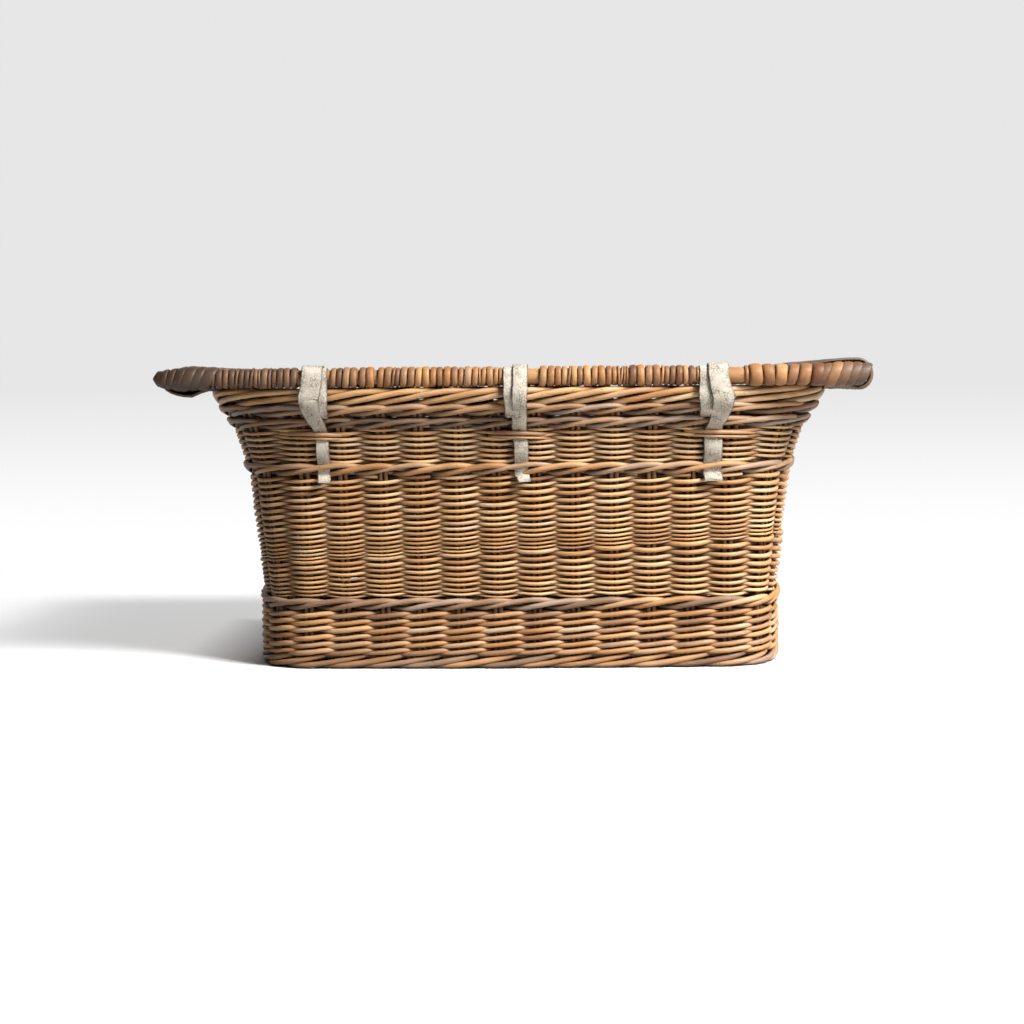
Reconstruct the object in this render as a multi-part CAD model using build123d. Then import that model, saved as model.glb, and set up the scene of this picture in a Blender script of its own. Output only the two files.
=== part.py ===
from build123d import *
import math
import os

# Willow laundry hamper with a flat hinged lid, in millimetres.
# X runs along its length, -Y is the hinge side, and Z = 0 is the floor under its foot.

# Plan of the basket at floor level: two bowed sides, two bowed ends, four round corners
base_length = 692.0
base_depth = 430.0
side_bow = 12.0
end_bow = 36.0
base_corner = 75.0

# How far the outside of the wall leans out by the top of each kind of weave
waist_lean = 17.0
neck_lean = 36.5
rim_lean = 66.0

# Heights where one kind of weave ends and the next begins
foot_border_top = 18.0
foot_waling_top = 72.0
lower_wale_top = 91.0
main_weave_top = 243.0
upper_wale_top = 262.0
upper_weave_top = 302.0
border_wale_split = 318.0
border_wale_top = 334.0
rim_top = 352.6

# Wall build-up
strand = 4.5
wale_swell = 3.5
stake_thick = 6.0
stake_fit = 0.5
side_stake_pairs = 12
stake_past_corner = 8.4
end_stake_pairs = 9
hidden_rod_sides = 8

# Borders and base
foot_border_width = 20.0
foot_border_swell = 1.5
top_border_width = 25.0
base_floor_gap = 4.0
base_weave_thick = 14.0
base_stick_dia = 9.0
base_stick_count = 7
base_stick_pitch = 52.0

# Lid
lid_end_overhang = 28.0
lid_stick_inset = 13.0
lid_rest_gap = 0.4
end_binding_length = 72.0
lid_weave_thick = 22.0
lid_valley_thick = 9.0
lid_ridge_width = 18.0
edge_stick_dia = 19.0
edge_wrap = 4.5
inner_stick_dia = 12.0
inner_stick_count = 8
first_stick_inset = 38.0
end_nose_radius = 18.0
stick_end_inset = 11.0

# Leather hinge straps
strap_width = 20.0
strap_thick = 2.5
strap_stake_step = 5
strap_tail = 12.0
strap_bare_stick = 15.0
ply_gap = 0.3
strap_bend = 3.0
strap_shoulder = 6.0
strap_loop_share = 0.995
strap_leave_share = 0.43
ply_rise = 0.86
ply_foot_rise = 0.25
ply_shoulder_drop = 0.3

# Clearances
piece_gap = 0.3

# Sizes worked out from the ones above
half_length = base_length / 2
half_depth = base_depth / 2
side_radius = (half_length**2 + side_bow**2) / (2 * side_bow)
end_radius = (half_depth**2 + end_bow**2) / (2 * end_bow)
stake_room = stake_thick + 2 * stake_fit
wall = 2 * strand + stake_room
lid_length = base_length + 2 * rim_lean + 2 * lid_end_overhang
lid_weave_length = lid_length - 2 * end_binding_length
edge_radius = edge_stick_dia / 2 + edge_wrap
lid_z = rim_top + lid_rest_gap + edge_radius
lid_y = half_depth + rim_lean - lid_stick_inset
lean_points = [
    (0.0, 0.0), (lower_wale_top, 0.0), (main_weave_top, waist_lean),
    (upper_weave_top, neck_lean), (rim_top, rim_lean),
]


def lean(z):
    """How far outside the plan line the wall's outer face stands at height z."""
    for (z0, u0), (z1, u1) in zip(lean_points, lean_points[1:]):
        if z <= z1:
            return u0 + (u1 - u0) * (z - z0) / (z1 - z0)
    return lean_points[-1][1]


def bends(z0, z1):
    """The heights between z0 and z1 where the wall changes its lean."""
    return [z for z, _ in lean_points if z0 < z < z1]


def corner_centre():
    """Centre of the right near corner's arc, which meets a side and an end smoothly."""
    from_side = side_radius - base_corner
    from_end = end_radius - base_corner
    side_y = side_radius - half_depth
    end_x = half_length - end_radius
    apart = math.hypot(end_x, side_y)
    along = (from_side**2 - from_end**2 + apart**2) / (2 * apart)
    off = math.sqrt(from_side**2 - along**2)
    ux, uy = end_x / apart, -side_y / apart
    return (ux * along - uy * off, side_y + uy * along + ux * off)


def plan_arcs():
    """The plan line as eight arcs, each (centre x, centre y, radius, start angle, end angle)."""
    cx, cy = corner_centre()
    side_y = side_radius - half_depth
    end_x = half_length - end_radius
    a = math.degrees(math.atan2(cx, side_y - cy))
    b = math.degrees(math.atan2(-cy, cx - end_x))
    return [
        (0, side_y, side_radius, -90 - a, -90 + a),
        (cx, cy, base_corner, -90 + a, -b),
        (end_x, 0, end_radius, -b, b),
        (cx, -cy, base_corner, b, 90 - a),
        (0, -side_y, side_radius, 90 - a, 90 + a),
        (-cx, -cy, base_corner, 90 + a, 180 - b),
        (-end_x, 0, end_radius, 180 - b, 180 + b),
        (-cx, cy, base_corner, 180 + b, 270 - a),
    ]


def ring(section):
    """A closed ring round the basket. section lists (outward distance from the plan line, z)."""
    pieces = []
    for cx, cy, radius, start, end in plan_arcs():
        turn = math.radians(start)
        plane = Plane(
            origin=(cx, cy, 0),
            x_dir=(math.cos(turn), math.sin(turn), 0),
            z_dir=(math.sin(turn), -math.cos(turn), 0),
        )
        outline = Polyline(*[(radius + u, z) for u, z in section], close=True)
        face = plane * make_face(outline)
        pieces.append(revolve(face, Axis((cx, cy, 0), (0, 0, 1)), end - start))
    return pieces[0].fuse(*pieces[1:])


def plan_face(out, z):
    """The flat area inside the plan line moved outwards by out, at height z."""
    edges = []
    for cx, cy, radius, start, end in plan_arcs():
        edges.append(CenterArc((cx, cy, z), radius + out, start, end - start))
    return make_face(edges)


def skin(z0, z1, inner):
    """One face of woven strokes between two heights, on the inside or outside of the stakes."""
    levels = [z0] + bends(z0, z1) + [z1]
    back = wall if inner else strand
    outer = [(lean(z) - back + strand, z) for z in levels]
    return ring(outer + [(u - strand, z) for u, z in reversed(outer)])


def swollen_skin(z0, z1, swell):
    """Outside strokes of a wale, which stand proud of the weave above and below."""
    middle = (z0 + z1) / 2
    return ring([
        (lean(z0), z0), (lean(middle) + swell, middle), (lean(z1), z1),
        (lean(z1) - strand, z1), (lean(z0) - strand, z0),
    ])


def stake_pitch():
    """Distance between the pairs of stakes along a side, whose last pair is at the corner."""
    return 2 * (corner_centre()[0] + stake_past_corner) / (side_stake_pairs - 1)


def stake_line():
    """The arcs of the plan and their lengths where the stakes stand."""
    arcs = plan_arcs()
    mid = lean(foot_border_top) - strand - stake_room / 2
    return arcs, [math.radians(end - start) * (radius + mid) for _, _, radius, start, end in arcs]


def station_at(run):
    """The place this far round from the middle of the near side."""
    arcs, lengths = stake_line()
    run = (run + lengths[0] / 2) % sum(lengths)
    for (cx, cy, radius, start, end), length in zip(arcs, lengths):
        if run <= length:
            return (cx, cy, radius, start + (end - start) * run / length)
        run -= length


def stake_stations():
    """Where each pair of stakes stands: an arc centre, its radius and the outward angle."""
    half_way = sum(stake_line()[1]) / 2
    last = stake_pitch() * (side_stake_pairs - 1) / 2
    runs = [stake_pitch() * i - last for i in range(side_stake_pairs)]
    end_pitch = (half_way - 2 * last) / (end_stake_pairs + 1)
    runs += [last + end_pitch * i for i in range(1, end_stake_pairs + 1)]
    return [station_at(run + turn) for turn in (0, half_way) for run in runs]


def make_stake(station, side):
    """One stake of a pair, bent with the wall and left four-sided. side is -1 or 1."""
    cx, cy, radius, angle = station
    nx, ny = math.cos(math.radians(angle)), math.sin(math.radians(angle))
    sections = []
    for z in [foot_border_top] + bends(foot_border_top, border_wale_top) + [border_wale_top]:
        out = radius + lean(z) - strand - stake_room / 2
        shift = side * (stake_thick + piece_gap) / 2
        place = Plane(
            origin=(cx + out * nx - shift * ny, cy + out * ny + shift * nx, z),
            x_dir=(nx, ny, 0),
            z_dir=(0, 0, 1),
        )
        sections.append(place * Rectangle(stake_thick, stake_thick))
    return loft(sections, ruled=True)


def make_stakes():
    solids = []
    for station in stake_stations():
        for side in (-1, 1):
            solids.append(make_stake(station, side))
    return solids


def make_foot_border():
    swell = foot_border_swell
    third = foot_border_top / 3
    return ring([
        (-foot_border_width, 0), (-2 * swell, 0), (swell, third), (swell, 2 * third),
        (lean(foot_border_top), foot_border_top), (-foot_border_width, foot_border_top),
    ])


def make_top_border():
    outer = lean(rim_top)
    inner = outer - top_border_width
    foot = lean(border_wale_top)
    third = (rim_top - border_wale_top) / 3
    return ring([
        (inner, border_wale_top), (foot + wale_swell, border_wale_top),
        (outer, border_wale_top + third), (outer, rim_top - third),
        (outer - third, rim_top), (inner, rim_top),
    ])


def x_rod(diameter, length, y, z):
    """A round rod along X, centred on the YZ plane."""
    return Pos(0, y, z) * Rot(0, 90, 0) * Cylinder(diameter / 2, length)


def faceted_rod(diameter, length, y, z):
    """A rod along X inside the weave, with a few flats. diameter is across its corners."""
    flats = Plane.YZ.offset(-length / 2) * RegularPolygon(diameter / 2, hidden_rod_sides)
    return Pos(0, y, z) * extrude(flats, length, dir=(1, 0, 0))


def rod_hole(diameter, length, y, z):
    """Room for a faceted rod with the gap all round, the gap measured on its corners."""
    across = (diameter + 2 * piece_gap) / math.cos(math.pi / hidden_rod_sides)
    return faceted_rod(across, length, y, z)


def base_stick_rows():
    """(y, length) of each base stick, which ends short of the foot border."""
    inset = foot_border_width + 2 * piece_gap
    end_reach = end_radius - inset
    corner_reach = base_corner - inset
    cx, cy = corner_centre()
    end_edge = end_reach * math.sin(math.radians(plan_arcs()[2][4]))
    rows = []
    for i in range(base_stick_count):
        y = base_stick_pitch * (i - (base_stick_count - 1) / 2)
        if abs(y) < end_edge:
            x = half_length - end_radius + math.sqrt(end_reach**2 - y**2)
        else:
            x = cx + math.sqrt(corner_reach**2 - (abs(y) - abs(cy)) ** 2)
        rows.append((y, 2 * (x - base_stick_dia)))
    return rows


def base_middle():
    return base_floor_gap + base_weave_thick / 2


def make_base_sticks():
    rows = base_stick_rows()
    return [faceted_rod(base_stick_dia, length, y, base_middle()) for y, length in rows]


def make_base_weave():
    out = -foot_border_width - piece_gap
    panel = extrude(plan_face(out, base_floor_gap), base_weave_thick, dir=(0, 0, 1))
    for y, length in base_stick_rows():
        panel -= rod_hole(base_stick_dia, length + 2 * piece_gap, y, base_middle())
    return panel


def inner_stick_places():
    first = lid_y - first_stick_inset
    step = 2 * first / (inner_stick_count - 1)
    return [-first + step * i for i in range(inner_stick_count)]


def edge_stick_length():
    return lid_length - 2 * stick_end_inset


def make_edge_stick(y):
    return x_rod(edge_stick_dia, edge_stick_length(), y, lid_z)


def make_inner_sticks():
    length = edge_stick_length() - 2 * inner_stick_dia
    return [faceted_rod(inner_stick_dia, length, y, lid_z) for y in inner_stick_places()]


def stick_holes():
    """Room for every lid stick, the same sticks made larger by the gap."""
    length = edge_stick_length() + 2 * piece_gap
    holes = [x_rod(edge_stick_dia + 2 * piece_gap, length, y, lid_z) for y in (-lid_y, lid_y)]
    for y in inner_stick_places():
        holes.append(rod_hole(inner_stick_dia, length, y, lid_z))
    return holes


def lid_panel():
    """The woven panel: it stands in a ridge over each stick and thins between two of them."""
    rows = [-lid_y] + inner_stick_places() + [lid_y]
    ridge, valley = lid_weave_thick / 2, lid_valley_thick / 2
    top = [(-lid_y, ridge)]
    for one, two in zip(rows, rows[1:]):
        top.append((one + lid_ridge_width / 2, ridge))
        top.append(((one + two) / 2, valley))
        top.append((two - lid_ridge_width / 2, ridge))
    top.append((lid_y, ridge))
    section = Polyline(*top, *[(y, -z) for y, z in reversed(top)], close=True)
    face = Plane.YZ * make_face(section)
    return Pos(0, 0, lid_z) * extrude(face, lid_weave_length / 2, dir=(1, 0, 0), both=True)


def make_lid_weave():
    """The panel with its edges turned round both edge sticks, and a window for each strap."""
    panel = lid_panel()
    for y in (-lid_y, lid_y):
        panel += x_rod(2 * edge_radius, lid_weave_length, y, lid_z)
    for hole in stick_holes():
        panel -= hole
    near = lid_y + 2 * edge_radius
    far = lid_y - first_stick_inset + inner_stick_dia / 2 + edge_wrap
    for x in strap_places().values():
        window = Box(strap_width + 2 * strap_bare_stick, near - far, 4 * edge_radius)
        panel -= Pos(x, -(near + far) / 2, lid_z) * window
    return panel


def make_end_binding(side):
    """The thick bound end of the lid. side is -1 for the left end and 1 for the right."""
    root = lid_weave_length / 2 + piece_gap
    nose = lid_length / 2 - end_nose_radius
    low = lid_z - edge_radius
    top = lid_z + lid_weave_thick / 2
    high = low + 2 * end_nose_radius
    line = Polyline((nose, low), (root, low), (root, top), (nose, high))
    arc = ThreePointArc((nose, high), (lid_length / 2, low + end_nose_radius), (nose, low))
    roll = extrude(Plane.XZ * make_face([line, arc]), lid_y, both=True)
    for hole in stick_holes():
        roll -= hole
    if side < 0:
        roll = roll.mirror(Plane.YZ)
    return roll


def strap_places():
    """Where the straps stand along X: between stakes, the same number of stakes apart."""
    apart = strap_stake_step * stake_pitch()
    return {"left": -apart, "centre": 0.0, "right": apart}


def slant_gap(x):
    """What a bowed side takes from the gap behind a straight strap, over half its width."""
    return strap_width / 2 * abs(x) / side_radius


def side_bow_at(x):
    """How far the bowed side has drawn in at x, against its middle."""
    return side_radius - math.sqrt(side_radius**2 - x**2)


def strap_winding(x, ply):
    """One turn of the strap round the border and the stick, as (outward, z, corner radius).

    It climbs the inside of the wall, crosses over the stick and comes down the outside.
    ply is 0 for the turn that lies on the wood and 1 for the turn on top of it.
    """
    step = ply * (strap_thick + ply_gap)
    wrap = edge_stick_dia / 2 + strap_thick / 2 + piece_gap + step
    seat = strap_thick / 2 + piece_gap + slant_gap(x) + step
    stick = lid_y - half_depth + side_bow_at(x)
    outer = lean(rim_top) + seat
    inner = lean(rim_top) - top_border_width - seat
    foot = min(inner - seat / 3, lean(border_wale_top) - wall - seat)
    loop = wrap * strap_loop_share
    leave = edge_stick_dia / 2 * strap_leave_share
    side = max(stick + wrap + piece_gap, outer)
    return [
        (foot, border_wale_top + strap_thick / 2 + step * ply_foot_rise, 0),
        (inner, rim_top + strap_thick / 3 + step * ply_rise, 0),
        (stick - wrap, lid_z - leave + step * ply_rise, 0),
        (stick - wrap, lid_z + wrap, loop),
        (stick + wrap, lid_z + wrap, loop),
        (side, rim_top - strap_thick, 0),
        (side, border_wale_top + strap_shoulder - step * ply_shoulder_drop, 0),
    ]


def strap_route(x):
    """The strap's middle line from its inner end to its tail, as (outward, z, corner radius)."""
    half = strap_thick / 2
    seat = half + piece_gap + slant_gap(x)
    step = strap_thick + ply_gap
    slot = border_wale_split
    inside = lean(slot) - wall - seat
    outside = lean(slot) + 2 * wale_swell
    buried = strand - seat + piece_gap / 2
    bend = strap_bend
    start_z = slot + step + seat
    start = [(lean(start_z) - wall - seat, start_z, bend)]
    turn = [(outside, slot, bend + half), (inside - step, slot, bend)]
    wale_foot = upper_weave_top + (slot - upper_weave_top) / 4
    tail = [
        (outside + half, slot - 2 * step, 0),
        (lean(wale_foot) + wale_swell + seat, wale_foot, 0),
        (lean(upper_weave_top - half) + seat, upper_weave_top - half, 0),
        (lean(upper_wale_top + half) + seat, upper_wale_top + half, 0),
        (lean(upper_wale_top - half) - buried, upper_wale_top - step - half, 0),
        (lean(main_weave_top + half) - buried, main_weave_top + step, 0),
        (lean(main_weave_top - step) + seat, main_weave_top - step - half, 0),
        (lean(main_weave_top - strap_tail) + seat, main_weave_top - strap_tail, 0),
    ]
    return start + strap_winding(x, 0) + turn + strap_winding(x, 1) + tail


def ribbon(x, route, thick, width):
    """A flat strip that follows the route at this x, thick by width."""
    shore = half_depth - side_bow_at(x)
    points = [(x, -(shore + u), z) for u, z, _ in route]
    path = FilletPolyline(*points, radius=[r for _, _, r in route[1:-1]])
    start = Plane(origin=path @ 0, x_dir=(1, 0, 0), z_dir=path % 0)
    return sweep(start * Rectangle(width, thick), path=path, transition=Transition.RIGHT)


def make_strap(x):
    return ribbon(x, strap_route(x), strap_thick, strap_width)


def strap_rooms(x):
    """What the wall leaves free for the strap: where it passes inside, and behind its tail."""
    route = strap_route(x)
    one_turn = len(strap_winding(x, 0))
    through = route[one_turn : one_turn + 4]
    behind = route[2 * one_turn + 2 :]
    thick = strap_thick + 2 * piece_gap
    width = strap_width + 2 * piece_gap
    return [ribbon(x, run, thick, width) for run in (through, behind)]


def write(name, shapes):
    solids = shapes if isinstance(shapes, list) else [shapes]
    shape = Compound(children=[s for item in solids for s in item.solids()])
    export_step(shape, f"parts/{name}.step")
    print(name, len(shape.solids()), round(shape.volume))


def main():
    os.makedirs("parts", exist_ok=True)
    rooms = [room for x in strap_places().values() for room in strap_rooms(x)]
    bands = {
        "foot_waling": [skin(foot_border_top, foot_waling_top, False)],
        "lower_wale": [swollen_skin(foot_waling_top, lower_wale_top, wale_swell)],
        "main_weave": [skin(lower_wale_top, main_weave_top, False)],
        "upper_wale": [swollen_skin(main_weave_top, upper_wale_top, wale_swell)],
        "upper_weave": [skin(upper_wale_top, upper_weave_top, False)],
        "border_wale_lower": [swollen_skin(upper_weave_top, border_wale_split, wale_swell)],
        "border_wale_upper": [swollen_skin(border_wale_split, border_wale_top, wale_swell)],
        "inner_weave": [skin(foot_border_top, main_weave_top, True)],
        "inner_upper_weave": [skin(main_weave_top, border_wale_top, True)],
    }
    write("foot_border", make_foot_border())
    write("top_border", make_top_border())
    for name, solids in bands.items():
        for room in rooms:
            solids = [solid - room for solid in solids]
        write(name, solids)
    write("side_stakes", make_stakes())
    write("base_sticks", make_base_sticks())
    write("base_weave", make_base_weave())
    write("lid_back_stick", make_edge_stick(-lid_y))
    write("lid_front_stick", make_edge_stick(lid_y))
    write("lid_inner_sticks", make_inner_sticks())
    write("lid_weave", make_lid_weave())
    write("lid_end_binding_left", make_end_binding(-1))
    write("lid_end_binding_right", make_end_binding(1))
    for place, x in strap_places().items():
        write(f"hinge_strap_{place}", make_strap(x))


main()
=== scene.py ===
import bpy
import bmesh
import math
import random
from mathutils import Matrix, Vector


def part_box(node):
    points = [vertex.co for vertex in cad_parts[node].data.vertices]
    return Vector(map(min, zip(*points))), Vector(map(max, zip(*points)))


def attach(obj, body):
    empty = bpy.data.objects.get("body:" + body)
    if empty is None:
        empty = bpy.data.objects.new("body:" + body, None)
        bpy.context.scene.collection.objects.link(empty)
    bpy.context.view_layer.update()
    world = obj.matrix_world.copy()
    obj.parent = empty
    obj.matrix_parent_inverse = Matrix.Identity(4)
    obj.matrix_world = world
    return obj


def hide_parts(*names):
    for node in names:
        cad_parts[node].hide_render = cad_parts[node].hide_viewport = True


# Willow laundry hamper with a flat lid on leather straps, in metres.
# X runs along its length and -Y is the hinge side, which faces the camera.

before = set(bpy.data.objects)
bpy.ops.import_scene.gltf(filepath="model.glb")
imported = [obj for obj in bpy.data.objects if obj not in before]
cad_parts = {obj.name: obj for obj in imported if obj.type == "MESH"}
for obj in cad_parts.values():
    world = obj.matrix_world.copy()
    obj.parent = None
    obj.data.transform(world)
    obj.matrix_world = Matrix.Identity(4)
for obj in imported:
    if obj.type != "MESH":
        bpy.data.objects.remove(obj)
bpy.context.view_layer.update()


def srgb(code):
    # hex as a colour picker shows it, turned to the linear values that shaders use
    parts = [int(code[i:i + 2], 16) / 255 for i in (0, 2, 4)]
    return [c / 12.92 if c <= 0.04045 else ((c + 0.055) / 1.055) ** 2.4 for c in parts] + [1.0]


def clamp(value, low=0.0, high=1.0):
    return max(low, min(high, value))


def setInputs(node, inputs):
    # an input takes a value, a socket, or a node, which then gives its first output in use
    for key, value in inputs.items():
        named = (socket for socket in node.inputs if socket.enabled and socket.name == key)
        target = node.inputs[key] if isinstance(key, int) else next(named)
        if isinstance(value, bpy.types.Node):
            value = next(socket for socket in value.outputs if socket.enabled)
        if isinstance(value, bpy.types.NodeSocket):
            node.id_data.links.new(value, target)
        else:
            target.default_value = value


def addNode(tree, kind, inputs={}, stops=(), **settings):
    node = tree.nodes.new(kind)
    for key, value in settings.items():
        setattr(node, key, value)
    for k, (position, code) in enumerate(stops):   # a ramp's positions and colours
        elements = node.color_ramp.elements
        element = elements[k] if k < len(elements) else elements.new(1.0)
        element.position = position
        element.color = srgb(code)
    setInputs(node, inputs)
    return node


def newMaterial(name):
    material = bpy.data.materials.new(name)
    material.use_nodes = True
    tree = material.node_tree
    return material, tree, tree.nodes["Principled BSDF"]


# materials

# Buff willow: boiled in the bark, then peeled and left to age. Warm honey to brown, with a dry
# satin skin, fine streaks along each rod, small dark knots, and grey where the rods weathered.
# shade is painted into creases, onto the sides of rods that face into the weave, and by each rod's own finish
willowLook = {
    "honey": [(0.0, "E5BB87"), (0.3, "D09B63"), (0.6, "AC7644"), (1.0, "724628")],
    "weathered": [(0.0, "C2AE9E"), (0.5, "97806E"), (1.0, "61503F")],
    # the dark that knot flecks and painted shade mix towards
    "knotAndPaintedShade": "1C1009",
    "drift": 0.045,      # how far a colour keeps before it drifts, in metres
    "driftShare": 0.55,  # how much of the way from honey to brown that takes
    "streak": 0.0011,    # width of one streak
    "streakLength": 22,  # in widths
    "streakShare": 0.50,
    "paler": 0.52,       # takes back what drift and streaks add, so that tone sets the colour
    "knotApart": 0.009,  # distance between knots and flecks
    # knot flecks and painted shade darken the colour where three measures are low: fully up to the first
    # number, not at all from the second, and the third says how dark it gets
    "knot": (0.06, 0.14, 0.55),       # distance from a knot
    # painted shade on the sides of rods that face into the weave
    "paintedInwardShade": (-0.55, 0.26, 0.86),    # how far a spot on a rod faces out of the weave
    # painted shade in creases, by how closed in each spot is
    "paintedCreaseShade": (0.10, 0.70, 0.88),     # how open a spot is to what lies around it
    # in creases the dark is painted shade, not dust
    "paintedShadeReach": 0.011,             # how near a neighbour has to be for dust and shade to gather
    # the third of these is painted shade
    "bareFinish": (0.50, 0.14, 0.04),   # tone, grey and shade of sticks that have no finish of their own
    "roughness": (0.42, 0.66),
    "bump": {"Strength": 0.35, "Distance": 0.0006},
}


def makeWillow(name, stretch, useRods):
    # stretch is how much longer the streaks are than wide along X, Y and Z
    look = willowLook
    material, tree, shader = newMaterial(name)
    spot = addNode(tree, "ShaderNodeTexCoord")
    place = spot.outputs["Object"]
    fineScale = [1 / (look["streak"] * s) for s in stretch]
    along = addNode(tree, "ShaderNodeMapping", {"Vector": place, "Scale": fineScale})
    streaks = addNode(tree, "ShaderNodeTexNoise", {"Vector": along, "Scale": 1.0, "Detail": 3.0})
    drift = addNode(tree, "ShaderNodeTexNoise", {"Vector": place, "Scale": 1 / look["drift"], "Detail": 2.0})
    # each rod's finish holds its tone, its grey and its painted shade
    if useRods:
        finish = addNode(tree, "ShaderNodeAttribute", attribute_name="rodFinish").outputs["Vector"]
        tone, grey, shade = addNode(tree, "ShaderNodeSeparateXYZ", {"Vector": finish}).outputs
    else:
        tone, grey, shade = look["bareFinish"]
    vary = tone
    for noise, share in ((drift, look["driftShare"]), (streaks, look["streakShare"])):
        vary = addNode(tree, "ShaderNodeMath", {0: noise, 1: share, 2: vary}, operation="MULTIPLY_ADD")
    vary = addNode(tree, "ShaderNodeMath", {0: vary, 1: look["paler"]}, operation="SUBTRACT")
    honey = addNode(tree, "ShaderNodeValToRGB", {"Fac": vary}, look["honey"])
    weathered = addNode(tree, "ShaderNodeValToRGB", {"Fac": vary}, look["weathered"])
    colour = addNode(tree, "ShaderNodeMix", {"Factor": grey, "A": honey, "B": weathered}, data_type="RGBA")
    # the dark of knot flecks and of painted shade
    dark = srgb(look["knotAndPaintedShade"])
    # painted shade, as much as the finish asks for
    colour = addNode(tree, "ShaderNodeMix", {"Factor": shade, "A": colour, "B": dark}, data_type="RGBA")
    flecks = {"Vector": place, "Scale": 1 / look["knotApart"]}
    measures = {"knot": addNode(tree, "ShaderNodeTexVoronoi", flecks)}
    # painted shade on the sides of rods that face into the weave
    if useRods:
        face = addNode(tree, "ShaderNodeAttribute", attribute_name="rodFace").outputs["Vector"]
        sides = {0: spot.outputs["Normal"], 1: face}
        measures["paintedInwardShade"] = addNode(tree, "ShaderNodeVectorMath", sides, operation="DOT_PRODUCT")
    # painted shade in creases, from how open each spot is to its neighbours
    near = addNode(tree, "ShaderNodeAmbientOcclusion", {"Distance": look["paintedShadeReach"]}, samples=6)
    measures["paintedCreaseShade"] = near.outputs["AO"]
    for kind, measure in measures.items():
        full, clear, strength = look[kind]
        span = {"Value": measure, "From Min": full, "From Max": clear, "To Min": strength, "To Max": 0.0}
        share = addNode(tree, "ShaderNodeMapRange", span)
        colour = addNode(tree, "ShaderNodeMix", {"Factor": share, "A": colour, "B": dark}, data_type="RGBA")
    low, high = look["roughness"]
    rough = addNode(tree, "ShaderNodeMapRange", {"Value": streaks, "To Min": low, "To Max": high})
    bump = addNode(tree, "ShaderNodeBump", {"Height": streaks, **look["bump"]})
    setInputs(shader, {"Base Color": colour, "Roughness": rough, "Normal": bump})
    return material


# Whitened hide, cut in strips and long since dried: chalky cream with a web of fine dark cracks,
# soiled towards the cut edges, which show the brown flesh of the leather.
leatherLook = {
    "cream": [(0.0, "857B6B"), (0.35, "BAAF9D"), (0.7, "D4CABA")],
    "crack": "4A3F33",
    "edge": "4F4032",
    "crackSize": 0.0035,
    "stain": 0.012,
    # each from one number to the next goes from the third to the fourth
    "crackLine": (0.02, 0.12, 0.7, 0.0),      # a crack's darkness, by the distance from it
    "crackPatch": (0.42, 0.6, 1.0, 0.25),     # how deep cracks are, by the stain under them
    "soiling": (0.84, 0.97, 0.0, 0.85),       # by the share of the way to a cut edge
    "roughness": 0.78,
    "bump": {"Strength": 0.6, "Distance": 0.0005},
}


def makeLeather():
    look = leatherLook
    material, tree, shader = newMaterial("crackedCreamLeather")
    place = addNode(tree, "ShaderNodeTexCoord").outputs["Object"]
    stain = addNode(tree, "ShaderNodeTexNoise", {"Vector": place, "Scale": 1 / look["stain"], "Detail": 6.0})
    colour = addNode(tree, "ShaderNodeValToRGB", {"Fac": stain}, look["cream"])
    web = {"Vector": place, "Scale": 1 / look["crackSize"]}
    cracks = addNode(tree, "ShaderNodeTexVoronoi", web, feature="DISTANCE_TO_EDGE")
    across = addNode(tree, "ShaderNodeAttribute", attribute_name="across").outputs["Fac"]
    rim = addNode(tree, "ShaderNodeMath", {0: across}, operation="ABSOLUTE")
    shares = []
    for measure, key in ((cracks, "crackLine"), (stain, "crackPatch"), (rim, "soiling")):
        names = ("From Min", "From Max", "To Min", "To Max")
        shares.append(addNode(tree, "ShaderNodeMapRange", {"Value": measure, **dict(zip(names, look[key]))}))
    line, patch, soiled = shares
    depth = addNode(tree, "ShaderNodeMath", {0: line, 1: patch}, operation="MULTIPLY")
    for share, code in ((depth, look["crack"]), (soiled, look["edge"])):
        both = {"Factor": share, "A": colour, "B": srgb(code)}
        colour = addNode(tree, "ShaderNodeMix", both, data_type="RGBA")
    bump = addNode(tree, "ShaderNodeBump", {"Height": depth, **look["bump"]}, invert=True)
    setInputs(shader, {"Base Color": colour, "Roughness": look["roughness"], "Normal": bump})
    return material


grain = willowLook["streakLength"]
wallWillow = makeWillow("buffWillowWall", (grain, grain, 1), True)
lidWillow = makeWillow("buffWillowLid", (1, grain, 1), True)
stakeWillow = makeWillow("buffWillowStakes", (1, 1, grain), True)
stickWillow = makeWillow("peeledWillowSticks", (grain, 1, 1), False)
leather = makeLeather()
print("materials made")


# the wall: its plan line, its lean and its stakes

wall = {
    "length": 0.692, "depth": 0.430, "sideBow": 0.012, "endBow": 0.036, "corner": 0.075,
    # heights, and how far the outside leans out there past the base
    "lean": [(0.0, 0.0), (0.091, 0.0), (0.243, 0.017), (0.302, 0.0365), (0.3526, 0.066)],
    "thickness": 0.016,
    "sidePairs": 12, "sidePitch": 0.048, "endPairs": 9,
    "stakeRadius": 0.0030,
}
pairCount = 2 * (wall["sidePairs"] + wall["endPairs"])


def leanAt(z):
    for (z0, u0), (z1, u1) in zip(wall["lean"], wall["lean"][1:]):
        if z <= z1:
            break
    return u0 + (u1 - u0) * (z - z0) / (z1 - z0)


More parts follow.
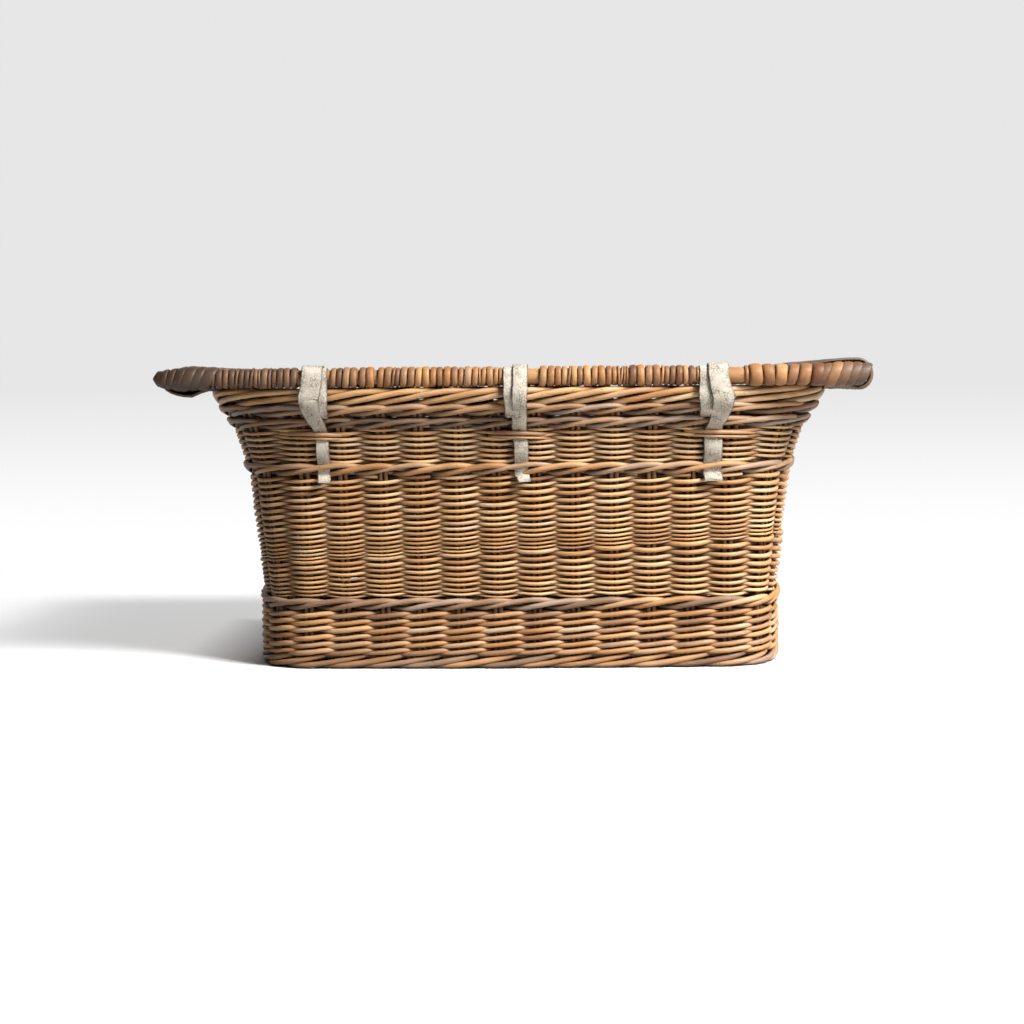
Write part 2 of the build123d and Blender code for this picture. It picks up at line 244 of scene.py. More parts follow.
def planArcs():
    # eight arcs that meet smoothly: side, corner, end, corner, side, corner, end, corner
    halfX, halfY, corner = wall["length"] / 2, wall["depth"] / 2, wall["corner"]
    side = (halfX**2 + wall["sideBow"]**2) / (2 * wall["sideBow"])
    end = (halfY**2 + wall["endBow"]**2) / (2 * wall["endBow"])
    sideY, endX = side - halfY, halfX - end
    apart = math.hypot(endX, sideY)
    along = ((side - corner)**2 - (end - corner)**2 + apart**2) / (2 * apart)
    off = math.sqrt((side - corner)**2 - along**2)
    ux, uy = endX / apart, -sideY / apart
    cx, cy = ux * along - uy * off, sideY + uy * along + ux * off
    a = math.atan2(cx, sideY - cy)
    b = math.atan2(-cy, cx - endX)
    q = math.pi / 2
    return [
        (0, sideY, side, -q - a, -q + a), (cx, cy, corner, -q + a, -b),
        (endX, 0, end, -b, b), (cx, -cy, corner, b, q - a),
        (0, -sideY, side, q - a, q + a), (-cx, -cy, corner, q + a, 2 * q - b),
        (-endX, 0, end, 2 * q - b, 2 * q + b), (-cx, cy, corner, 2 * q + b, 3 * q - a),
    ]


arcs = planArcs()
arcLengths = [(end - start) * (radius - wall["thickness"] / 2) for _, _, radius, start, end in arcs]
wayRound = sum(arcLengths)


def planReach(x, inset):
    # how far the plan line, moved inwards, lies from the long middle line at this x
    cornerX, cornerY = arcs[1][0], -arcs[1][1]
    side = arcs[0][2]
    if abs(x) < cornerX:
        return math.sqrt((side - inset)**2 - x * x) - arcs[0][1]
    return cornerY + math.sqrt(max(0.0, (wall["corner"] - inset)**2 - (abs(x) - cornerX)**2))


def pairRuns():
    # where the pairs of stakes stand, as lengths along the wall from the middle of the near side
    last = wall["sidePitch"] * (wall["sidePairs"] - 1) / 2
    side = [wall["sidePitch"] * i - last for i in range(wall["sidePairs"])]
    gap = (wayRound / 2 - 2 * last) / (wall["endPairs"] + 1)
    half = side + [last + gap * i for i in range(1, wall["endPairs"] + 1)]
    return half + [run + wayRound / 2 for run in half]


runs = pairRuns()
placeCache = {}


def placeAt(t):
    # t counts pairs of stakes round the wall, from the left end of the near side
    key = round(t % pairCount, 5)
    if key not in placeCache:
        i = int(key) % pairCount
        here = runs[i]
        there = runs[i + 1] if i + 1 < pairCount else runs[0] + wayRound
        run = (here + (there - here) * (key - int(key)) + arcLengths[0] / 2) % wayRound
        for (cx, cy, radius, start, end), length in zip(arcs, arcLengths):
            if run <= length:
                angle = start + (end - start) * run / length
                placeCache[key] = (cx, cy, radius, math.cos(angle), math.sin(angle))
                break
            run -= length
    return placeCache[key]


def wallPoint(t, z, out):
    # out is measured from the middle of the wall's thickness, towards the outside
    cx, cy, radius, nx, ny = placeAt(t)
    reach = radius + leanAt(z) - wall["thickness"] / 2 + out
    return Vector((cx + reach * nx, cy + reach * ny, z))


def outwardAt(t, share):
    # straight out of the wall, as long as the share of the way that a rod stands out
    _, _, _, nx, ny = placeAt(t)
    return Vector((nx * share, ny * share, 0))


def blend(rows, f):
    # a smooth way, f of it gone, from the second of four rows of numbers to the third
    return [
        0.5 * (2 * b + (c - a) * f + (2 * a - 5 * b + 4 * c - d) * f * f + (3 * b - a - 3 * c + d) * f**3)
        for a, b, c, d in zip(*rows)
    ]


def smoothKeys(keys, steps):
    # a smooth run through rows of numbers, with this many steps between two rows
    rows = [keys[0], *keys, keys[-1]]
    result = [blend(rows[k:k + 4], s / steps) for k in range(len(keys) - 1) for s in range(steps)]
    return result + [list(keys[-1])]


# rods: a wire of points with a thickness and a finish at each, given a round skin

def makeRodSkin(sides, flat, strip):
    group = bpy.data.node_groups.new("stripSkin" if strip else f"rodSkin{sides}", "GeometryNodeTree")
    for way in ("INPUT", "OUTPUT"):
        group.interface.new_socket("Geometry", in_out=way, socket_type="NodeSocketGeometry")
    curve = addNode(group, "GeometryNodeMeshToCurve", {"Mesh": addNode(group, "NodeGroupInput")})
    if flat < 1:
        turn = addNode(
            group, "GeometryNodeInputNamedAttribute", {"Name": "rodTurn"}, data_type="FLOAT_VECTOR"
        )
        curve = addNode(group, "GeometryNodeSetCurveNormal", {"Curve": curve, "Normal": turn}, mode="FREE")
    radius = addNode(group, "GeometryNodeInputNamedAttribute", {"Name": "rodRadius"}, data_type="FLOAT")
    if strip:
        # a cut strip has a flat section with its edges just rounded
        size = {"Width": 2 * flat, "Height": 2.0}
        outline = addNode(group, "GeometryNodeCurvePrimitiveQuadrilateral", size)
        rounded = {"Curve": outline, "Count": 3, "Radius": flat * 0.7}
        outline = addNode(group, "GeometryNodeFilletCurve", rounded, mode="POLY")
        place = addNode(group, "GeometryNodeInputPosition")
        spot = addNode(group, "ShaderNodeSeparateXYZ", {"Vector": place})
        stored = {"Geometry": outline, "Name": "across", "Value": spot.outputs["Y"]}
        outline = addNode(group, "GeometryNodeStoreNamedAttribute", stored, data_type="FLOAT", domain="POINT")
    else:
        outline = addNode(group, "GeometryNodeCurvePrimitiveCircle", {"Resolution": sides, "Radius": 1.0})
        outline = addNode(group, "GeometryNodeTransform", {"Geometry": outline, "Scale": (flat, 1.0, 1.0)})
    swept = {"Curve": curve, "Profile Curve": outline, "Scale": radius, "Fill Caps": True}
    addNode(group, "NodeGroupOutput", {"Geometry": addNode(group, "GeometryNodeCurveToMesh", swept)})
    return group


def finishMesh(obj, material):
    # applies the piece's modifiers, turns its faces outwards and smooths them
    graph = bpy.context.evaluated_depsgraph_get()
    mesh = bpy.data.meshes.new_from_object(obj.evaluated_get(graph))
    obj.modifiers.clear()
    obj.data = mesh
    shape = bmesh.new()
    shape.from_mesh(mesh)
    bmesh.ops.recalc_face_normals(shape, faces=shape.faces)
    for face in shape.faces:
        face.smooth = True
    shape.to_mesh(mesh)
    shape.free()
    mesh.materials.clear()
    mesh.materials.append(material)


def layRods(name, rods, material, sides=6, flat=1.0, strip=False):
    # rods is a list of rods, each a list of (place, half width, (tone, grey, painted shade), face);
    # face points to the side that shows, and is short where a rod passes into the weave, and the willow
    # paints shade on the sides turned from it;
    # a fifth entry turns a flat section where the side that shows changes on the way
    wire = bmesh.new()
    radiusLayer = wire.verts.layers.float.new("rodRadius")
    finishLayer, faceLayer, turnLayer = (
        wire.verts.layers.float_vector.new(layer) for layer in ("rodFinish", "rodFace", "rodTurn")
    )
    for rod in rods:
        before = None
        for place, radius, finish, face, *turn in rod:
            vert = wire.verts.new(place)
            vert[radiusLayer] = radius
            vert[finishLayer] = finish
            vert[faceLayer] = face
            vert[turnLayer] = turn[0] if turn else face
            if before:
                wire.edges.new((before, vert))
            before = vert
    mesh = bpy.data.meshes.new(name)
    wire.to_mesh(mesh)
    wire.free()
    obj = bpy.data.objects.new(name, mesh)
    bpy.context.scene.collection.objects.link(obj)
    skin = obj.modifiers.new("skin", "NODES")
    skin.node_group = makeRodSkin(sides, flat, strip)
    finishMesh(obj, material)
    triangles = sum(len(face.vertices) - 2 for face in obj.data.polygons)
    print(name, len(rods), "rods", triangles, "triangles")
    return obj


def settle(obj, body, slot, *nodes):
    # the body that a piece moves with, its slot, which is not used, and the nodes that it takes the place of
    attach(obj, body)
    if nodes:
        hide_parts(*nodes)


# side stakes, in pairs

stakes = {
    "seed": 3,
    "bottom": 0.012, "top": 0.330, "step": 0.02,
    "apart": 0.0033, "wander": 0.0012, "thickness": (0.92, 1.05),
    # the stakes take painted shade, as they stand back in the weave's gaps
    "tone": 0.58, "toneSpread": 0.12, "grey": 0.1, "shade": 0.30,
}


def makeStakes():
    dice = random.Random(stakes["seed"])
    rods = []
    rise = stakes["top"] - stakes["bottom"]
    rows = int(rise / stakes["step"]) + 1
    for i in range(pairCount):
        shift = dice.uniform(-1, 1) * stakes["wander"]
        for side in (-1, 1):
            t = i + (side * stakes["apart"] + shift) / wall["sidePitch"]
            tone = stakes["tone"] + dice.uniform(-stakes["toneSpread"], stakes["toneSpread"])
            finish = (tone, stakes["grey"], stakes["shade"])
            radius = wall["stakeRadius"] * dice.uniform(*stakes["thickness"])
            heights = [stakes["bottom"] + rise * k / rows for k in range(rows + 1)]
            rods.append([(wallPoint(t, z, 0), radius, finish, (0, 0, 0)) for z in heights])
    return layRods("sideStakes", rods, stakeWillow, sides=8)


settle(makeStakes(), "basket", "sticks", "side_stakes")


# randed weave: each row passes in front of one pair and behind the next

strokeSteps = 8   # points on a rod for each pair of stakes

weaves = {
    "mainWeave": {
        "nodes": ("main_weave", "inner_weave", "inner_upper_weave"),
        "seed": 11, "tone": 0.30, "grey": 0.05,
        # where blocks meet: heights at the middle of the near side, and how they climb along X
        "ends": ((0.0905, 0.0), (0.1500, 0.045), (0.2255, 0.062), (0.2460, 0.0)),
        # the last block is a wedge, so its rows keep their pitch and stop where it has no room
        "blocks": (
            {"rows": 16, "pitchRatio": 1.5}, {"rows": 22, "pitchRatio": 2.2},
            {"rows": 10, "steadyPitch": 0.0040},
        ),
    },
    "upperWeave": {
        "nodes": ("upper_weave",),
        "seed": 12, "tone": 0.34, "grey": 0.08,
        "ends": ((0.2615, 0.0), (0.3050, 0.0)),
        "blocks": ({"rows": 12, "pitchRatio": 1.1},),
    },
}
weave = {
    "pairs": 12, "overlap": 0.3,     # pairs that one rod passes before the next takes over
    "fill": 0.612, "thinnest": 0.0010, "thickest": 0.0032,    # a radius against the pitch, and its limits
    "rodThickness": (0.94, 1.06), "strokeThickness": (0.93, 1.07),
    "fuller": 0.24,                  # how much thicker the inside strokes are
    "standOff": 0.95,                # how far out a stroke's middle lies, in its own radii
    "sag": 0.0019, "jitter": 0.00035,
    "leastPitch": 0.0014, "headroom": 0.001,    # a row stops where it has less than this
    "toneSpread": 0.14, "greySpread": 0.12,
    # painted shade, darkest where a rod passes between stakes into the weave
    "shade": 0.30, "shadeFade": 1.6,  # darkest where a rod passes between stakes
}


def rowPlace(look, number, row, x):
    # height and pitch of a row at this x: the pitch grows from the bottom of a block to its top
    block = look["blocks"][number]
    top = look["ends"][-1][0]
    low, high = (min(height + climb * x, top) for height, climb in look["ends"][number:number + 2])
    if "steadyPitch" in block:
        pitch = block["steadyPitch"]
        z = low + pitch * (row + 0.5)
        return z, pitch if z < high - weave["headroom"] else 0.0
    weights = [1 + (block["pitchRatio"] - 1) * k / (block["rows"] - 1) for k in range(block["rows"])]
    share = (high - low) / sum(weights)
    z = low + share * (sum(weights[:row]) + weights[row] / 2)
    return z, share * weights[row]


def makeRanding(name, look):
    dice = random.Random(look["seed"])
    rods = []
    rowNumber = 0
    for number, block in enumerate(look["blocks"]):
        for row in range(block["rows"]):
            rowNumber += 1
            start = (dice.randrange(pairCount) // 2) * 2 + (rowNumber + 1) % 2
            strokes = [
                (dice.uniform(-1, 1) * weave["jitter"], dice.uniform(*weave["strokeThickness"]))
                for _ in range(pairCount + 1)
            ]
            for first in range(start, start + pairCount, weave["pairs"]):
                last = min(first + weave["pairs"], start + pairCount)
                tone = look["tone"] + dice.gauss(0, weave["toneSpread"])
                grey = max(0.0, look["grey"] + dice.gauss(0, weave["greySpread"]))
                rodThick = dice.uniform(*weave["rodThickness"])
                begin = int((first - weave["overlap"]) * strokeSteps)
                end = int((last + weave["overlap"]) * strokeSteps)
                rod = []
                for k in range(begin, end + 1):
                    t = k / strokeSteps
                    x = wallPoint(t, look["ends"][number][0], 0).x
                    z, pitch = rowPlace(look, number, row, x)
                    if pitch < weave["leastPitch"]:
                        if len(rod) > strokeSteps:
                            rods.append(rod)
                        rod = []
                        continue
                    wave = math.cos(math.pi * (t + rowNumber))
                    lift, thick = strokes[round(t - start) % pairCount]
                    radius = weave["fill"] * pitch * thick * rodThick
                    radius = clamp(radius, weave["thinnest"], weave["thickest"])
                    radius *= 1 + weave["fuller"] * max(0.0, -wave)
                    out = wave * (wall["stakeRadius"] + weave["standOff"] * radius)
                    # painted shade where the rod passes between stakes, and its face sets painted shade on
                    # the side turned inward
                    shade = weave["shade"] * (1 - min(1, abs(wave) * weave["shadeFade"]))
                    z += lift - weave["sag"] * abs(wave)
                    rod.append((wallPoint(t, z, out), radius, (tone, grey, shade), outwardAt(t, wave)))
                if len(rod) > strokeSteps:
                    rods.append(rod)
    return layRods(name, rods, wallWillow)


for name, look in weaves.items():
    settle(makeRanding(name, look), "basket", "willow", *look["nodes"])


# wales: each rod passes in front of two pairs and behind the third, climbing as it goes; the
# foot's rods go two by two, in front of one pair, rising, and behind the next

# pairs along the stroke, outward share and height in steps, for three strands and for two
strokeKeys = {
    3: [
        (0.0, -1.0, 0.55), (0.5, 0.10, 0.0), (1.0, 0.98, 0.60),
        (1.5, 1.08, 1.20), (2.0, 1.0, 1.50), (2.5, 0.15, 1.05),
    ],
    2: [(0.0, -1.0, 0.90), (0.5, 0.25, 0.42), (1.0, 1.0, 0.82), (1.5, 0.70, 1.36)],
}
# step is the height that keys count in, and rise how many radii above its band a wale begins
wales = {
    "footWaling": {
        "node": "foot_waling", "strands": 2, "rounds": 6, "radius": 0.0031, "step": 0.00465, "rise": -0.35,
        "seed": 20, "tone": 0.40, "grey": 0.22, "greySpread": 0.22,
    },
    "lowerWale": {
        "node": "lower_wale", "strands": 3, "rounds": 1, "radius": 0.0037, "step": 0.0070, "rise": 1,
        "seed": 21, "tone": 0.46, "grey": 0.42, "greySpread": 0.40,
    },
    "upperWale": {
        "node": "upper_wale", "strands": 3, "rounds": 1, "radius": 0.0035, "step": 0.0072, "rise": 1,
        "seed": 22, "tone": 0.45, "grey": 0.40, "greySpread": 0.30,
    },
    "borderWaleLower": {
        "node": "border_wale_lower", "strands": 3, "rounds": 1, "radius": 0.0034, "step": 0.0062, "rise": 1,
        "seed": 23, "tone": 0.56, "grey": 0.52, "greySpread": 0.42,
    },
    "borderWaleUpper": {
        "node": "border_wale_upper", "strands": 3, "rounds": 1, "radius": 0.0036, "step": 0.0062, "rise": 1,
        "seed": 24, "tone": 0.52, "grey": 0.56, "greySpread": 0.40,
    },
}
waleRod = {
    "pairs": 6, "overlap": 2,      # pairs that one rod passes, and points that it goes on for past them
    "thickness": (0.86, 1.08), "wander": 0.0008, "standOff": 1.05,
    # painted shade, darkest where a rod passes between stakes into the weave
    "toneSpread": 0.15, "shade": 0.35, "shadeFade": 1.4,
}


def waleAt(u, strands):
    # outward share and height within one stroke, smoothly between the keys
    keys = strokeKeys[strands]
    count = len(keys)
    u %= strands
    k = max(i for i in range(count) if keys[i][0] <= u)
    here = keys[k][0]
    there = keys[k + 1][0] if k + 1 < count else strands
    return blend([keys[(k + i) % count][1:] for i in (-1, 0, 1, 2)], (u - here) / (there - here))


def makeWale(name, look):
    dice = random.Random(look["seed"])
    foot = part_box(look["node"])[0][2]
    rods = []
    for turn in range(look["rounds"]):
        base = foot + look["radius"] * look["rise"] + 2 * look["step"] * turn
        for strand in range(look["strands"]):
            start = strand + turn % 2
            for first in range(start, start + pairCount, waleRod["pairs"]):
                tone = look["tone"] + dice.gauss(0, waleRod["toneSpread"])
                grey = clamp(look["grey"] + dice.uniform(-1, 1) * look["greySpread"])
                thick = look["radius"] * dice.uniform(*waleRod["thickness"])
                lift = dice.uniform(-waleRod["wander"], waleRod["wander"])
                rod = []
                last = waleRod["pairs"] * strokeSteps + waleRod["overlap"]
                for k in range(-waleRod["overlap"], last + 1):
                    u = k / strokeSteps
                    share, height = waleAt(u, look["strands"])
                    out = share * (wall["stakeRadius"] + waleRod["standOff"] * thick)
                    # painted shade where the rod passes between stakes
                    shade = waleRod["shade"] * max(0.0, 1 - abs(share) * waleRod["shadeFade"])
                    z = base + height * look["step"] + lift * min(1, abs(u) * 2)
                    place = wallPoint(first + u, z, out)
                    rod.append((place, thick, (tone, grey, shade), outwardAt(first + u, share)))
                rods.append(rod)
    return layRods(name, rods, wallWillow, sides=8)


for name, look in wales.items():
    settle(makeWale(name, look), "basket", "willow", look["node"])


# rod borders: each rod bends down beside its stakes, crosses the face and is turned in

borders = {
    "topBorder": {
        "node": "top_border", "seed": 31, "radius": 0.0042, "tone": 0.24, "grey": 0.14, "greySpread": 0.18,
        "keys": [
            # pairs along, height, outward from the middle of the wall
            (-0.35, 0.3300, 0.0000), (-0.05, 0.3345, 0.0012), (0.25, 0.3375, 0.0038), (0.7, 0.3410, 0.0050),
            (1.2, 0.3456, 0.0052), (1.6, 0.3489, 0.0040), (2.0, 0.3504, 0.0006), (2.5, 0.3502, -0.0040),
            (3.0, 0.3462, -0.0075), (3.5, 0.3415, -0.0088), (3.9, 0.3380, -0.0086),
        ],
    },
    "footBorder": {
        "node": "foot_border", "seed": 32, "radius": 0.0040, "tone": 0.55, "grey": 0.45, "greySpread": 0.30,
        "keys": [
            (-0.35, 0.0100, -0.0105), (0.0, 0.0062, -0.0080), (0.35, 0.0042, -0.0010),
            (0.8, 0.0041, 0.0042), (1.3, 0.0066, 0.0052), (1.8, 0.0106, 0.0046),
            (2.2, 0.0142, 0.0022), (2.5, 0.0168, -0.0020), (2.8, 0.0186, -0.0058),
        ],
    },
}
borderRod = {
    "steps": 5, "thickness": (0.88, 1.05), "taper": 0.03,    # how much thinner it gets with each pair
    "slip": 0.06, "toneSpread": 0.12,
    # how far a rod shows sets its painted shade where it turns into the wall
    "showAt": 0.35, "showOver": 0.006,    # how far a rod shows in the middle of the wall, and grows outwards
}


def makeBorder(name, look):
    dice = random.Random(look["seed"])
    rods = []
    for i in range(pairCount):
        tone = look["tone"] + dice.gauss(0, borderRod["toneSpread"])
        finish = (tone, clamp(look["grey"] + dice.uniform(-1, 1) * look["greySpread"]), 0.0)
        thick = look["radius"] * dice.uniform(*borderRod["thickness"])
        slip = dice.uniform(-borderRod["slip"], borderRod["slip"])
        rod = []
        for u, z, out in smoothKeys(look["keys"], borderRod["steps"]):
            t = i + u + slip
            taper = 1 - borderRod["taper"] * max(0, u)
            # how far it faces out, which sets its painted shade
            shown = clamp(borderRod["showAt"] + out / borderRod["showOver"], -1.0)
            rod.append((wallPoint(t, z, out), thick * taper, finish, outwardAt(t, shown)))
        rods.append(rod)
    return layRods(name, rods, wallWillow, sides=10)


for name, look in borders.items():
    settle(makeBorder(name, look), "basket", "willow", look["node"])


# packing rods: laid along the stakes where two bands meet, they fill the openings between strokes

packing = {
    "seed": 35,
    "heights": (0.0150, 0.2482, 0.2600, 0.3066, 0.3250, 0.3310),
    "foot": (0.0205, 0.0055, 10),     # the foot's lowest one, their distance and their number
    "out": -0.0026, "radius": 0.0028, "pairs": 14,
    # packing rods take painted shade, and face only half out, which paints more shade on them
    "tone": 0.48, "toneSpread": 0.1, "grey": 0.2, "shade": 0.25, "shown": 0.5,
}


def makePacking():
    dice = random.Random(packing["seed"])
    rods = []
    lowest, apart, number = packing["foot"]
    for z in [*packing["heights"], *(lowest + apart * k for k in range(number))]:
        for first in range(0, pairCount, packing["pairs"]):
            tone = packing["tone"] + dice.gauss(0, packing["toneSpread"])
            finish = (tone, packing["grey"], packing["shade"])
            stops = [first + k / 2 for k in range(-1, 2 * packing["pairs"] + 2)]
            rods.append([
                (wallPoint(t, z, packing["out"]), packing["radius"], finish, outwardAt(t, packing["shown"]))
                for t in stops
            ])
    return layRods("packingRods", rods, wallWillow)


settle(makePacking(), "basket", "willow")


# base: weavers cross the long sticks

base = {
    "seed": 41,
    "radius": 0.0019, "lift": 0.0056, "pitch": 0.0046, "inset": 0.016, "margin": 0.015,
    "stickPitch": 0.052, "steps": 40,
    "tone": 0.38, "toneSpread": 0.12, "grey": 0.1,
}


def makeBase():
    dice = random.Random(base["seed"])
    low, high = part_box("base_weave")
    middle = (low[2] + high[2]) / 2
    width = high[0] - low[0] - 2 * base["margin"]
    count = int(width / base["pitch"])
    rods = []
    for row in range(count):
        x = low[0] + base["margin"] + width * row / (count - 1)
        reach = planReach(x, base["inset"])
        finish = (base["tone"] + dice.gauss(0, base["toneSpread"]), base["grey"], 0.0)
        rod = []
        for k in range(base["steps"] + 1):
            y = -reach + 2 * reach * k / base["steps"]
            wave = math.cos(math.pi * (y / base["stickPitch"] + row))
            rod.append((Vector((x, y, middle + wave * base["lift"])), base["radius"], finish, (0, 0, wave)))
        rods.append(rod)
    return layRods("baseWeave", rods, lidWillow)


settle(makeBase(), "basket", "willow", "base_weave")


# lid: a flat randed panel whose weavers turn round the two edge sticks

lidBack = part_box("lid_back_stick")
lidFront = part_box("lid_front_stick")
lid = {
    "z": (lidBack[0][2] + lidBack[1][2]) / 2,
    "backY": (lidBack[0][1] + lidBack[1][1]) / 2,
    "frontY": (lidFront[0][1] + lidFront[1][1]) / 2,
    "edgeRadius": (lidBack[1][2] - lidBack[0][2]) / 2,
    "seed": 51,
    "innerRadius": 0.006, "innerCount": 8, "innerInset": 0.038,
    # where the back stick is bare for the straps
    "windows": ((-0.2655, -0.2270), (-0.0165, 0.0290), (0.2250, 0.2800)),
    "margin": 0.004, "crossings": 9,      # how often one weaver goes across and back
    "weaver": 0.0036, "flat": 0.80,       # half its width where it lies on a stick, and its section
    "pitch": (0.0078, 0.0094),            # of one crossing and the way back
    "spread": 1.04, "swell": 0.42, "evenness": (0.94, 1.04),      # how full it is, everywhere and on sticks
    "beside": (0.014, 0.80, 0.85),        # a distance from a stick, and the share of lift and swell there
    "turnReach": 130, "turnSteps": 10,    # a turn goes this many degrees each way from the outside
    "turnInset": 0.0015, "turnHug": 0.9,  # how it lies on an edge stick and on an inner one
    "tone": 0.30, "grey": 0.08, "finishSpread": 0.12,
    "greyFrom": 0.26, "greyOver": 0.1, "greyMore": 0.25,      # greyer towards the left end
}
innerPitch = (lid["frontY"] - lid["backY"] - 2 * lid["innerInset"]) / (lid["innerCount"] - 1)
innerRows = [lid["backY"] + lid["innerInset"] + innerPitch * i for i in range(lid["innerCount"])]


def turnAround(outward, reach, steps):
    # ways out from a stick along X, from its underside round the outside to its top, each with
    # its share of the turn and its rise; outward is -1 at the hinge side and 1 at the opening side
    for k in range(steps + 1):
        angle = math.radians(-reach + 2 * reach * k / steps)
        yield k / steps, math.sin(angle), Vector((0, outward * math.cos(angle), math.sin(angle)))


def turnRound(y, radius, outward, x0, x1):
    # points of a weaver that turns round a stick
    return [
        (Vector((x0 + (x1 - x0) * f, y, lid["z"])) + radius * around, around, outward * around, 0.0)
        for f, _, around in turnAround(outward, lid["turnReach"], lid["turnSteps"])
    ]


def crossLid(x, over, forward, first):
    # a weaver's way across the inner sticks, over and under them in turn, and widest on them
    lift = lid["innerRadius"] + lid["weaver"] * lid["flat"]
    off, share, swell = lid["beside"]
    stops = ((-innerPitch / 2, 0.0, 0.0), (-off, share, swell), (0.0, 1.0, 1.0), (off, share, swell))
    way = 1 if forward else -1
    points = []
    for count, (i, y) in enumerate(list(enumerate(innerRows))[first:][::way]):
        side = 1 if (i % 2 == 0) == over else -1
        for dy, share, swell in stops[0 if count else 1:]:
            place = Vector((x, y + way * dy, lid["z"] + side * lift * share))
            points.append((place, (0, 0, side * share), (0, 0, -way), swell))
    return points


def inWindow(x0, x1):
    return any(x0 < right and x1 > left for left, right in lid["windows"])


def makeLidWeave():
    dice = random.Random(lid["seed"])
    low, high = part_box("lid_weave")
    x = low[0] + lid["margin"]
    wrap = lid["edgeRadius"] - lid["turnInset"]
    rods = []
    rod = []
    count = 0
    while x < high[0] - lid["margin"]:
        pitch = dice.uniform(*lid["pitch"])
        if count % lid["crossings"] == 0:
            if rod:
                rods.append(rod)
            rod = rod[-1:]   # the next weaver begins where the last one ended
            tone = lid["tone"] + dice.gauss(0, lid["finishSpread"])
            grey = lid["grey"] + dice.gauss(0, lid["finishSpread"])
            grey += lid["greyMore"] * max(0, -x - lid["greyFrom"]) / lid["greyOver"]
            finish = (tone, max(0, grey), 0.0)
        half = pitch / 4 * lid["spread"] * dice.uniform(*lid["evenness"])
        middle = x + pitch / 2
        if inWindow(x, x + pitch):
            # at a window it turns round the first inner stick instead of the edge stick
            first = 1
            radius = lid["innerRadius"] + half * lid["flat"] * lid["turnHug"]
            back = turnRound(innerRows[0], radius, -1, x, middle)
        else:
            first = 0
            back = turnRound(lid["backY"], wrap, -1, x, middle)
        front = turnRound(lid["frontY"], wrap, 1, middle, x + pitch)
        way = crossLid(x, True, False, first) + back + crossLid(middle, False, True, first) + front
        for point, face, turn, swell in way:
            rod.append((point, half * (1 + lid["swell"] * swell), finish, face, turn))
        x += pitch
        count += 1
    rods.append(rod)
    return layRods("lidWeave", rods, lidWillow, sides=8, flat=lid["flat"])


settle(makeLidWeave(), "lid", "willow", "lid_weave")


# rings: the weavers' turns round the edge sticks, uneven in width, broad towards the right end

ringKinds = {
    "common": {"width": (0.0054, 0.0100), "flat": 0.43, "seam": 0.0007, "slant": 0.0010},
    "narrow": {"width": (0.0032, 0.0046), "flat": 0.92, "seam": 0.0006, "slant": 0.0022},
    "broad": {"width": (0.0110, 0.0180), "flat": 0.28, "seam": 0.0008, "slant": 0.0030},
}
rings = {
    "seed": 55,
    "end": 0.3725, "endRoom": 0.003, "broadFrom": 0.280, "least": 0.0034,
    "narrowChance": 0.20, "bareChance": 0.035, "bare": 0.004, "bareSpread": (0.4, 1.0),
    "reach": 150, "steps": 20,                # degrees each way from the outside
    "lift": 0.0003, "hug": (0.80, 1.0),       # how rings lie on the stick
    "slantSpread": (-0.5, 1.0),
    # tone, grey and shade, how much more they are at the left end, which is darkened with painted shade and
    # greyer, and how they vary
    "tone": (0.62, 0.36, 0.16), "grey": (0.12, 0.35, 0.14), "shade": (0.12, 0.20),
    "darkFrom": 0.16, "darkOver": 0.20,
    "rightMore": 0.10, "rightOver": 0.37,     # tone gains this over so long a way to the right
}


def makeRings():
    dice = random.Random(rings["seed"])
    made = {kind: [] for kind in ringKinds}
    for y in (lid["backY"], lid["frontY"]):
        outward = -1 if y < 0 else 1
        x = -rings["end"]
        while x < rings["end"] - rings["endRoom"]:
            if x > rings["broadFrom"]:
                kind = "broad"
            else:
                kind = "narrow" if dice.random() < rings["narrowChance"] else "common"
            look = ringKinds[kind]
            width = dice.uniform(*look["width"])
            if y < 0 and inWindow(x, x + width):
                # the last ring before a window is cut to fit, or the rings go on after it
                left, right = next(window for window in lid["windows"] if x < window[1])
                if left - x < rings["least"]:
                    x = right
                    continue
                width = left - x
            middle = x + width / 2
            half = width / 2 - look["seam"] / 2
            # towards the left end the rings are darkened with painted shade and turn greyer
            dark = clamp((-middle - rings["darkFrom"]) / rings["darkOver"])
            tone, more, spread = rings["tone"]
            right = rings["rightMore"] * max(0.0, middle / rings["rightOver"])
            tone += more * dark + right + dice.gauss(0, spread)
            grey, more, spread = rings["grey"]
            grey = clamp(grey + more * dark + dice.gauss(0, spread))
            shade, more = rings["shade"]
            finish = (tone, grey, shade + more * dark)
            lean = look["slant"] * dice.uniform(*rings["slantSpread"])
            reach = lid["edgeRadius"] + rings["lift"] + half * look["flat"] * dice.uniform(*rings["hug"])
            made[kind].append([
                (Vector((middle + lean * rise, y, lid["z"])) + reach * around, half, finish, around)
                for _, rise, around in turnAround(outward, rings["reach"], rings["steps"])
            ])
            x += width
            if dice.random() < rings["bareChance"]:
                x += rings["bare"] * dice.uniform(*rings["bareSpread"])
    for kind, rods in made.items():
        obj = layRods(f"{kind}LidRings", rods, lidWillow, sides=10, flat=ringKinds[kind]["flat"])
        settle(obj, "lid", "willow")


makeRings()


# lid ends: rods wound over the ends of the sticks in flat loops, from the weave to a rounded nose

